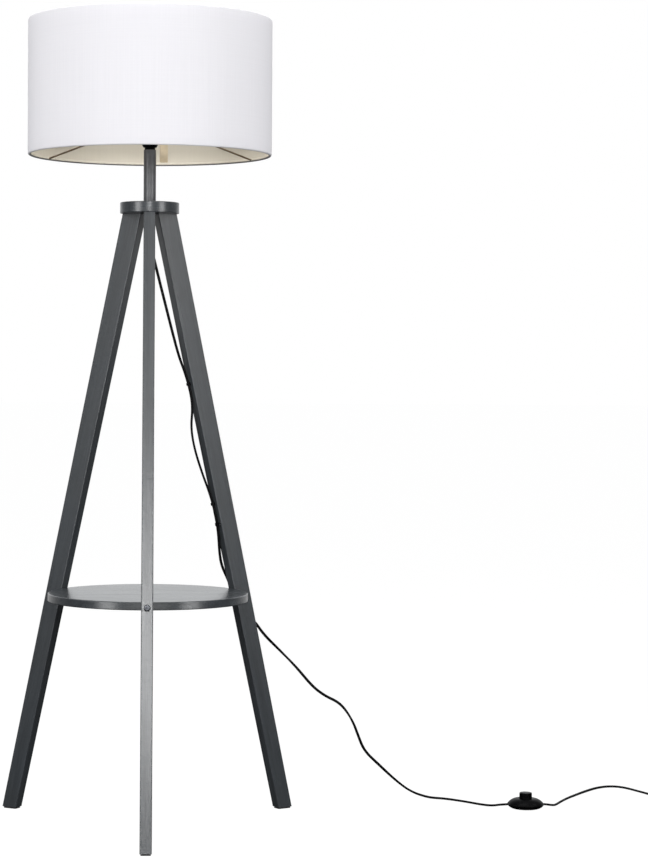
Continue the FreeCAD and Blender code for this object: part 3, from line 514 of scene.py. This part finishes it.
# ---- shade ----------------------------------------------------------------------------------
SHADE_LOW, SHADE_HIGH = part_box("shade_panel")[0].z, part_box("shade_panel")[1].z
SHADE_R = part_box("shade_panel")[1].x
HEM = 0.0028
SKIN = 0.0012
SEAM_AT = math.radians(83.4)        # from +X, so nearly straight behind
SEAM_WIDTH = 0.016
SEAM_FILM_THICKNESS = 0.0003
SEAM_END = 0.0072                   # the seam strip stops this far from each rim
AROUND, OUTSIDE_STEPS, INSIDE_STEPS = 480, 14, 12
# The third slot is the grey painted shade on the bottom hem's underside.
CLOTH, INSIDE, SHADED_HEM = 0, 1, 2       # material slots of the cloth
LINER_STARTS = math.radians(120)    # round a hem, from straight out
# Angles round the bottom hem, from straight out, where its underside is painted grey as shade.
PAINTED_SHADE_SPAN = (math.radians(95), math.radians(170))
WALL_END = 0.0012                   # the plain wall stops this far from the hems
HEM_JOINS = ((0.0009, 0.0004), (0.0002, -0.0010))    # (inwards, towards the rim) between hem and wall
BILLOW = (3.1, 4.0, 0.00035)        # how fast the cloth's dents change around and upwards, and their depth
PUCKER = (34.0, 20.0, 0.00028)      # the same for the finer ones at the hems
PUCKER_REACH = (0.004, 0.012)       # distances from a rim between which they die away


def hem_slot(angle):
    """The bottom hem's material: cloth outside, liner inside, and a grey band of painted shade on its
    underside towards the inside.
    """
    if PAINTED_SHADE_SPAN[0] < angle < PAINTED_SHADE_SPAN[1]:
        return SHADED_HEM
    return INSIDE if angle > LINER_STARTS else CLOTH


def shade_profile():
    """(radius, height, slot) of the cloth, up the outside, round the top hem, down the inside and back."""
    wire, inner = SHADE_R - HEM, SHADE_R - SKIN
    tall = SHADE_HIGH - SHADE_LOW - 2 * HEM
    outside = [(SHADE_R, SHADE_LOW + HEM + tall * i / OUTSIDE_STEPS, CLOTH) for i in range(OUTSIDE_STEPS + 1)]
    turn = [math.radians(a) for a in range(15, 196, 15)]
    top = [(wire + HEM * math.cos(a), SHADE_HIGH - HEM + HEM * math.sin(a),
            INSIDE if a > LINER_STARTS else CLOTH) for a in turn]
    high, low = SHADE_HIGH - 2 * HEM, SHADE_LOW + 2 * HEM
    plain = high - low - 2 * WALL_END
    down = [(inner - inward, high + rise, INSIDE) for inward, rise in HEM_JOINS]
    down += [(inner, high - WALL_END - plain * i / INSIDE_STEPS, INSIDE) for i in range(INSIDE_STEPS + 1)]
    down += [(inner - inward, low - rise, INSIDE) for inward, rise in reversed(HEM_JOINS)]
    bottom = [(wire + HEM * math.cos(a), SHADE_LOW + HEM - HEM * math.sin(a), hem_slot(a))
              for a in reversed(turn)]
    return outside + top + down + bottom


def dent(angle, height, around, upwards, depth):
    """Between 0 and the depth, changing as fast as asked around the shade and up it."""
    where = Vector((around * math.cos(angle), around * math.sin(angle), height * upwards))
    return depth * (0.5 + 0.5 * noise.noise(where))


def unevenness(angle, height, hem_share):
    """Small departures of the cloth from a true cylinder, inwards only."""
    return -dent(angle, height, *BILLOW) - hem_share * dent(angle, height, *PUCKER)


def shade_cloth():
    """The shade's wall and hems as one closed skin, with the cloth's flat coordinates."""
    profile = shade_profile()
    count = len(profile)
    points, lengths = [], [0.0]
    for (r0, z0, _), (r1, z1, _) in zip(profile, profile[1:] + profile[:1]):
        lengths.append(lengths[-1] + math.hypot(r1 - r0, z1 - z0))
    for i in range(AROUND):
        angle = 2 * math.pi * i / AROUND
        for radius, height, _ in profile:
            near_rim = min(height - SHADE_LOW, SHADE_HIGH - height)
            shift = unevenness(angle, height, 1 - glide(near_rim, *PUCKER_REACH))
            r = radius + shift
            points.append((AXIS.x + r * math.cos(angle), AXIS.y + r * math.sin(angle), height))
    faces, slots, flat = [], [], []
    for i in range(AROUND):
        for j in range(count):
            this, after, up = i * count, (i + 1) % AROUND * count, (j + 1) % count
            faces.append((this + j, after + j, after + up, this + up))
            slots.append(min(profile[j][2], profile[up][2]))
            step = 2 * math.pi * SHADE_R / AROUND
            flat.append([(i * step, lengths[j]), ((i + 1) * step, lengths[j]),
                         ((i + 1) * step, lengths[j + 1]), (i * step, lengths[j + 1])])
    obj = mesh_object("shade_cloth", points, faces)
    obj.data.materials.append(SLOT_LOOKS["shade_fabric"])
    obj.data.materials.append(LINER)
    obj.data.materials.append(HEM_PAINTED_SHADE)
    layer = obj.data.uv_layers.new(name="flat")
    for polygon, slot, corners in zip(obj.data.polygons, slots, flat):
        polygon.material_index = slot
        for loop, corner in zip(polygon.loop_indices, corners):
            layer.data[loop].uv = corner
    return obj


def seam_strip(name, radius, low, high, thickness, material):
    """A thin band standing on the shade's wall over the overlap of its two ends."""
    half = SEAM_WIDTH / 2 / SHADE_R
    across, tall = 8, 10
    rings = []
    for depth in (0.0, thickness):
        for j in range(tall + 1):
            height = low + (high - low) * j / tall
            for i in range(across + 1):
                angle = SEAM_AT + half * (2 * i / across - 1)
                r = radius + depth + unevenness(angle, height, 0.0)
                rings.append((AXIS.x + r * math.cos(angle), AXIS.y + r * math.sin(angle), height))
    row, sheet = across + 1, (across + 1) * (tall + 1)
    faces = []
    for j in range(tall):
        for i in range(across):
            a = j * row + i
            faces.append((a, a + 1, a + 1 + row, a + row))
            faces.append((sheet + a, sheet + a + row, sheet + a + 1 + row, sheet + a + 1))
    for j in range(tall):
        for i in (0, across):
            a = j * row + i
            side = (a, a + row, sheet + a + row, sheet + a)
            faces.append(side if i == 0 else side[::-1])
    for i in range(across):
        for j in (0, tall):
            a = j * row + i
            end = (a, sheet + a, sheet + a + 1, a + 1)
            faces.append(end if j == 0 else end[::-1])
    obj = mesh_object(name, rings, faces)
    obj.data.materials.append(material)
    return obj


shade = finish_piece(shade_cloth(), "shade_fabric", "shade_panel")
seam_in = seam_strip("shade_seam_inside", SHADE_R - SKIN - SEAM_FILM_THICKNESS,
                     SHADE_LOW + SEAM_END, SHADE_HIGH - SEAM_END, SEAM_FILM_THICKNESS, SEAM_FILM)
finish_piece(seam_in, "shade_fabric")


# ---- floor, backdrop and light --------------------------------------------------------------
FLOOR_HALF = 60.0
FLOOR_Z = -0.0002
SEEN_GLOW, SEEN_TONE = 0.97, 0.08       # what the camera sees: white, with hardly any shadow
FELT_TONE = 0.04
FLOOR_GLOW = {"From Min": 2.1, "From Max": 3.3, "To Min": 0.0, "To Max": 0.65}    # over Y, behind the lamp
WORLD_GLOW = {"From Min": 0.45, "From Max": 0.9, "To Min": 0.22, "To Max": 1.0}   # over the ray's Y


def studio_surface(name):
    """White to the eye.  To the light it is dull near the lamp and glows behind it, as a lit sweep does."""
    material = bpy.data.materials.new(name)
    material.use_nodes = True
    tree = material.node_tree
    tree.nodes.clear()
    made = {kind: tree.nodes.new("ShaderNode" + kind) for kind in
            ("OutputMaterial", "MixShader", "LightPath", "TexCoord", "SeparateXYZ", "MapRange")}
    sums = [tree.nodes.new("ShaderNodeAddShader") for _ in range(2)]
    glows = [tree.nodes.new("ShaderNodeEmission") for _ in range(2)]
    paints = [tree.nodes.new("ShaderNodeBsdfDiffuse") for _ in range(2)]
    glows[1].inputs["Strength"].default_value = SEEN_GLOW
    for paint, tone in zip(paints, (FELT_TONE, SEEN_TONE)):
        paint.inputs["Color"].default_value = (tone, tone, tone, 1)
    for key, value in FLOOR_GLOW.items():
        made["MapRange"].inputs[key].default_value = value
    link_up = tree.links.new
    link_up(made["TexCoord"].outputs["Object"], made["SeparateXYZ"].inputs[0])
    link_up(made["SeparateXYZ"].outputs["Y"], made["MapRange"].inputs["Value"])
    link_up(made["MapRange"].outputs[0], glows[0].inputs["Strength"])
    for total, glow, paint, slot in zip(sums, glows, paints, (1, 2)):
        link_up(glow.outputs[0], total.inputs[0])
        link_up(paint.outputs[0], total.inputs[1])
        link_up(total.outputs[0], made["MixShader"].inputs[slot])
    link_up(made["LightPath"].outputs["Is Camera Ray"], made["MixShader"].inputs[0])
    link_up(made["MixShader"].outputs[0], made["OutputMaterial"].inputs[0])
    return material


def add_floor():
    corners = [(x * FLOOR_HALF, y * FLOOR_HALF, FLOOR_Z) for x, y in ((-1, -1), (1, -1), (1, 1), (-1, 1))]
    floor = mesh_object("floor", corners, [(0, 1, 2, 3)], smooth=False)
    floor.data.materials.append(studio_surface("studio_floor"))


def add_world():
    """White to the eye.  The light that it gives is strong behind the lamp and weaker elsewhere."""
    world = bpy.data.worlds.new("studio")
    world.use_nodes = True
    tree = world.node_tree
    tree.nodes.clear()
    out = tree.nodes.new("ShaderNodeOutputWorld")
    mixed = tree.nodes.new("ShaderNodeMixShader")
    path = tree.nodes.new("ShaderNodeLightPath")
    seen = tree.nodes.new("ShaderNodeBackground")
    felt = tree.nodes.new("ShaderNodeBackground")
    coords = tree.nodes.new("ShaderNodeTexCoord")
    parts = tree.nodes.new("ShaderNodeSeparateXYZ")
    span = tree.nodes.new("ShaderNodeMapRange")
    seen.inputs["Color"].default_value = (1, 1, 1, 1)
    felt.inputs["Color"].default_value = (0.97, 0.985, 1.0, 1)
    for key, value in WORLD_GLOW.items():
        span.inputs[key].default_value = value
    tree.links.new(coords.outputs["Generated"], parts.inputs[0])
    tree.links.new(parts.outputs["Y"], span.inputs["Value"])
    tree.links.new(span.outputs[0], felt.inputs["Strength"])
    tree.links.new(path.outputs["Is Camera Ray"], mixed.inputs[0])
    tree.links.new(felt.outputs[0], mixed.inputs[1])
    tree.links.new(seen.outputs[0], mixed.inputs[2])
    tree.links.new(mixed.outputs[0], out.inputs[0])
    bpy.context.scene.world = world


def add_softbox(name, place, target, width, height, power):
    light = bpy.data.lights.new(name, "AREA")
    light.shape = "RECTANGLE"
    light.size, light.size_y, light.energy = width, height, power
    obj = link(bpy.data.objects.new(name, light))
    obj.location = place
    obj.rotation_euler = (Vector(target) - Vector(place)).to_track_quat("-Z", "Y").to_euler()
    obj.visible_camera = False


# (place, point it faces, width, height, watts)
SOFTBOXES = {
    "strip_left": ((-1.65, -1.60, 1.10), (0, 0.046, 1.0), 0.8, 2.2, 34.0),
    "strip_right": ((1.75, -1.50, 1.10), (0, 0.046, 1.0), 0.8, 2.2, 31.0),
    "front_top": ((0.0, -4.5, 1.92), (0, 0.0, 0.6), 0.8, 0.8, 44.0),
    "front_mid": ((0.0, -4.0, 2.55), (0, 0.0, 0.8), 0.8, 1.1, 3.0),
    "front_low": ((0.0, -4.0, 0.20), (0, 0.0, 0.45), 3.8, 0.5, 24.0),
    "front_high": ((0.0, -3.0, 2.75), (0, 0.0, 1.0), 0.9, 0.7, 2.5),
    "over_head": ((0.0, -0.4, 3.2), (0, 0.046, 0.8), 2.4, 1.6, 45.0),
    "side_left": ((-2.4, 0.1, 2.6), (0, 0.046, 1.3), 1.0, 1.0, 11.0),
    "side_right": ((2.4, 0.1, 2.6), (0, 0.046, 1.3), 1.0, 1.0, 11.0),
}

add_floor()
add_world()
for box_name, box in SOFTBOXES.items():
    add_softbox(box_name, *box)
bpy.context.scene.view_settings.view_transform = "Standard"
